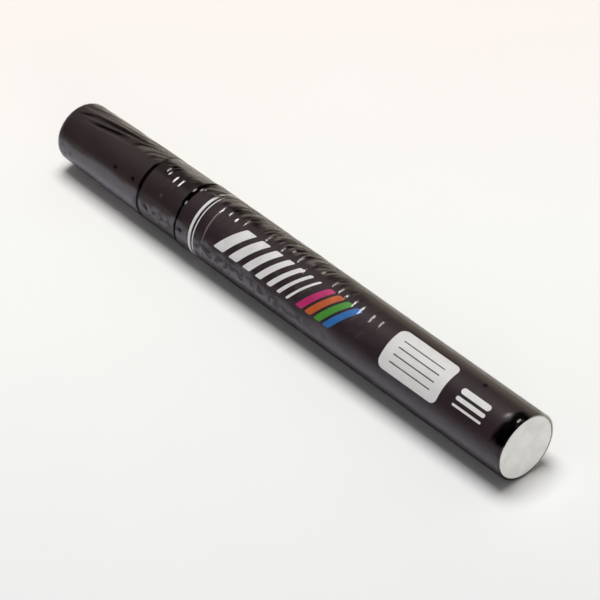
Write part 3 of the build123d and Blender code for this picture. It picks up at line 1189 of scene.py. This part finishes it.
white_ink = ink_material("white_ink", (0.82, 0.82, 0.82), (0.88, 0.88, 0.88))
panel_ink = ink_material("panel_ink", (0.82, 0.82, 0.82), (0.87, 0.87, 0.87))
grey_ink = ink_material("grey_ink", (0.060, 0.055, 0.055), (0.085, 0.080, 0.080))
pink_ink = ink_material("pink_ink", (0.52, 0.018, 0.15), (0.60, 0.025, 0.18))
blue_ink = ink_material("blue_ink", (0.020, 0.15, 0.45), (0.028, 0.18, 0.52))
green_ink = ink_material("green_ink", (0.06, 0.29, 0.03), (0.08, 0.34, 0.04))
orange_ink = ink_material("orange_ink", (0.54, 0.10, 0.02), (0.62, 0.13, 0.03))

# Two rings at the front
ring_angles = (-90, 270)
wide_ring = (-23.6, -22.9)
thin_ring = (-22.3, -22.05)

# Slanted bars that grow thinner, then bars of colour
bar_angles = (22, 76)
bar_slant = 5.0
bar_first_x = -16.0
bar_widths = (3.0, 2.6, 2.2, 1.8, 1.4, 1.0, 0.7)
bar_gap = 1.7
bar_corner = 0.3
colour_gap = 0.6
colour_width = 1.9
colour_pitch = 2.7
colour_corner = 0.5

# Panel with rules, and three round-ended bars behind it: width and angle
panel_ends = (33.5, 50)
panel_angles = (20, 95)
panel_corner = 1.6
rule_ends = (36.0, 47.5)
rule_angles = (37, 50, 63, 76)
rule_half_angle = 1
rear_bar_ends = (53.6, 61.5)
rear_bars = ((0.5, 40), (0.9, 52), (1.4, 66))

white_patches = [band(*wide_ring, *ring_angles), band(*thin_ring, *ring_angles)]
bar_x = bar_first_x
for width in bar_widths:
    white_patches.append(band(bar_x, bar_x + width, *bar_angles, bar_slant, bar_corner))
    bar_x += width + bar_gap
for width, angle in rear_bars:
    half = math.degrees(width / 2 / ink_high_radius)
    white_patches.append(band(*rear_bar_ends, angle - half, angle + half, corner=width / 2))
print_piece("print_white", white_patches, white_ink)
colour_x = bar_x + colour_gap
for name, ink in (("pink", pink_ink), ("orange", orange_ink), ("green", green_ink), ("blue", blue_ink)):
    colour_bar = band(colour_x, colour_x + colour_width, *bar_angles, bar_slant, colour_corner)
    print_piece("print_" + name, [colour_bar], ink)
    colour_x += colour_pitch
print_piece("print_panel", [band(*panel_ends, *panel_angles, corner=panel_corner)], panel_ink)
rules = [band(*rule_ends, angle - rule_half_angle, angle + rule_half_angle) for angle in rule_angles]
print_piece("print_rules", rules, grey_ink, ink_high_radius, overprint_high_radius)


# Floor: paper whose tone changes from the near edge to the far one, darker and cooler near and warmer far,
# as painted light; lengths in metres

floor_size = 6.0
floor_direction = (-0.748, 0.664, 0)
floor_change = (-0.10, 0.12)
floor_light_tones = (
    (0.0, (0.866, 0.882, 0.908)),
    (0.55, (0.937, 0.955, 0.944)),
    (1.0, (0.948, 0.900, 0.883)),
)
paper_patch = 40.0
paper_detail = 2.0
paper_drift = 0.03
paper_roughness = 0.9


def paper_material():
    """Matt pale paper, its tone graded from near to far as painted light."""
    material, nodes, links, shader = new_material("floor_paper")
    place = nodes.new("ShaderNodeTexCoord")
    away = nodes.new("ShaderNodeVectorMath")
    away.operation = "DOT_PRODUCT"
    away.inputs[1].default_value = floor_direction
    links.new(place.outputs["Object"], away.inputs[0])
    depth = rescale(nodes, links, away.outputs["Value"], 0, 1, *floor_change)
    drift = place_noise(nodes, links, paper_patch, paper_detail)
    depth = combine(nodes, links, "ADD", depth, rescale(nodes, links, drift, -paper_drift, paper_drift))
    links.new(tones(nodes, links, depth, floor_light_tones), shader.inputs["Base Color"])
    shader.inputs["Roughness"].default_value = paper_roughness
    shader.inputs["Specular IOR Level"].default_value = 0.0
    return material


bpy.ops.mesh.primitive_plane_add(size=floor_size, location=(0, 0, 0))
floor = bpy.context.object
floor.name = "floor"
floor.data.materials.append(paper_material())


# Light: a dark room, paler behind, a softbox overhead and a warm fill low at the rear end; lengths in metres

room_tones = (
    (0.0, (0.06, 0.06, 0.072)),
    (0.225, (0.08, 0.08, 0.090)),
    (0.375, (0.18, 0.17, 0.17)),
    (0.65, (0.18, 0.17, 0.155)),
    (0.79, (0.19, 0.18, 0.155)),
    (0.86, (0.27, 0.255, 0.21)),
    (0.92, (0.48, 0.45, 0.36)),
)


def light_room():
    """A world whose tone changes from -Y, in front, to +Y, behind."""
    world = bpy.data.worlds.new("room")
    bpy.context.scene.world = world
    world.use_nodes = True
    nodes = world.node_tree.nodes
    links = world.node_tree.links
    place = nodes.new("ShaderNodeTexCoord")
    split = nodes.new("ShaderNodeSeparateXYZ")
    links.new(place.outputs["Generated"], split.inputs["Vector"])
    backward = rescale(nodes, links, split.outputs["Y"], 0, 1, -1, 1)
    links.new(tones(nodes, links, backward, room_tones), nodes["Background"].inputs["Color"])
    nodes["Background"].inputs["Strength"].default_value = 1.0


def area_lamp(name, place, target, size, power, colour):
    """A square soft lamp aimed at a place."""
    data = bpy.data.lights.new(name, "AREA")
    data.shape = "SQUARE"
    data.size = size
    data.energy = power
    data.color = colour
    lamp = bpy.data.objects.new(name, data)
    lamp.location = place
    lamp.rotation_euler = (Vector(target) - Vector(place)).to_track_quat("-Z", "Y").to_euler()
    bpy.context.scene.collection.objects.link(lamp)


light_room()
area_lamp(
    "key", place=(-0.24, 0.10, 1.25), target=(-0.24, 0.10, 0),
    size=0.70, power=14.6, colour=(1.0, 0.985, 0.965),
)
area_lamp(
    "fill", place=(1.15, -0.58, 0.24), target=(0, 0, 0.01),
    size=0.6, power=4.0, colour=(1.0, 0.95, 0.90),
)


# Camera, from above the rear end and the near side; its place is in metres

azimuth = math.radians(48.4277)
elevation = math.radians(39.4638)
camera_place = (0.406475, -0.357840, 0.447850)
focal_length = 205.587
sensor_width = 36.0
view_reach = 20.0

level = math.cos(elevation)
back = Vector((math.sin(azimuth) * level, -math.cos(azimuth) * level, math.sin(elevation)))
lens = bpy.data.cameras.new("camera")
lens.sensor_width = sensor_width
lens.lens = focal_length
lens.clip_end = view_reach
camera = bpy.data.objects.new("camera", lens)
camera.location = camera_place
camera.rotation_euler = (-back).to_track_quat("-Z", "Y").to_euler()
bpy.context.scene.collection.objects.link(camera)
bpy.context.scene.camera = camera
bpy.context.scene.view_settings.view_transform = "Standard"
